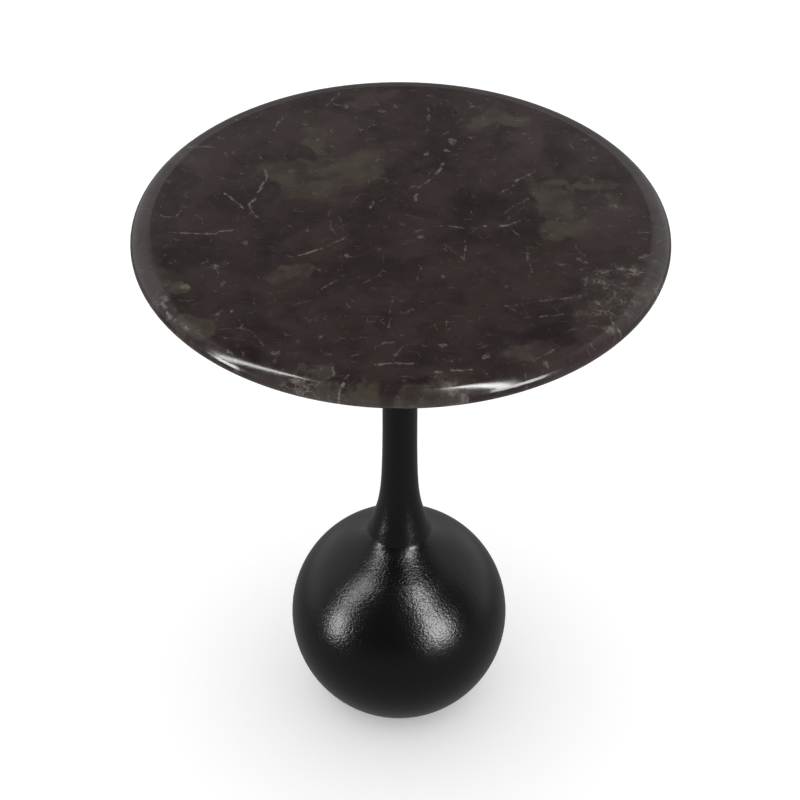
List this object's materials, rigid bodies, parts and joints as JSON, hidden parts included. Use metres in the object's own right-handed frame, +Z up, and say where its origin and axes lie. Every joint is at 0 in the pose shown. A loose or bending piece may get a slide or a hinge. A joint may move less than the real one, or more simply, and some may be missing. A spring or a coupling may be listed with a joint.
{
  "type": "round pedestal table",
  "caption": "Round pedestal side table: polished dark stone top with a full round edge on a black cast stem that flares into a ball foot.",
  "frame": {"origin": "on the floor at the table's axis, under the centre of the foot ring", "axes": "+Z up along the stem; the grub screw in the hub is on the +Y side, the table's back"},
  "size_m": [0.46, 0.46, 0.55],
  "materials": {
    "polished_stone": "polished dark brown marble with olive patches and pale veins",
    "black_coated_casting": "fine-textured black powder coat over a sand casting",
    "black_coated_steel": "satin black powder coat",
    "zinc_plated_steel": "bright zinc plate",
    "plain_steel": "plain mill finish",
    "brass_insert": "turned",
    "black_rubber": "matt",
    "cement_ballast": "rough cast cement"
  },
  "bodies": {
    "root": {"marble_top": "polished_stone", "top_inserts": "brass_insert", "cushion_discs": "black_rubber", "mounting_plate": "black_coated_steel", "stem_hub": "black_coated_steel", "hub_grub_screw": "zinc_plated_steel", "plate_flat_washers": "zinc_plated_steel", "plate_spring_washers": "zinc_plated_steel", "plate_screws": "zinc_plated_steel", "stem_tube": "black_coated_casting", "pedestal_casting": "black_coated_casting", "ballast": "cement_ballast", "sleeve_seal": "black_rubber", "rod_sleeve": "plain_steel", "tie_rod": "zinc_plated_steel", "clamp_plate": "plain_steel", "rod_flat_washer": "zinc_plated_steel", "rod_spring_washer": "zinc_plated_steel", "tie_rod_nut": "zinc_plated_steel", "foot_cover": "black_coated_steel", "cover_screws": "zinc_plated_steel", "foot_ring": "black_rubber"}
  },
  "joints": []
}
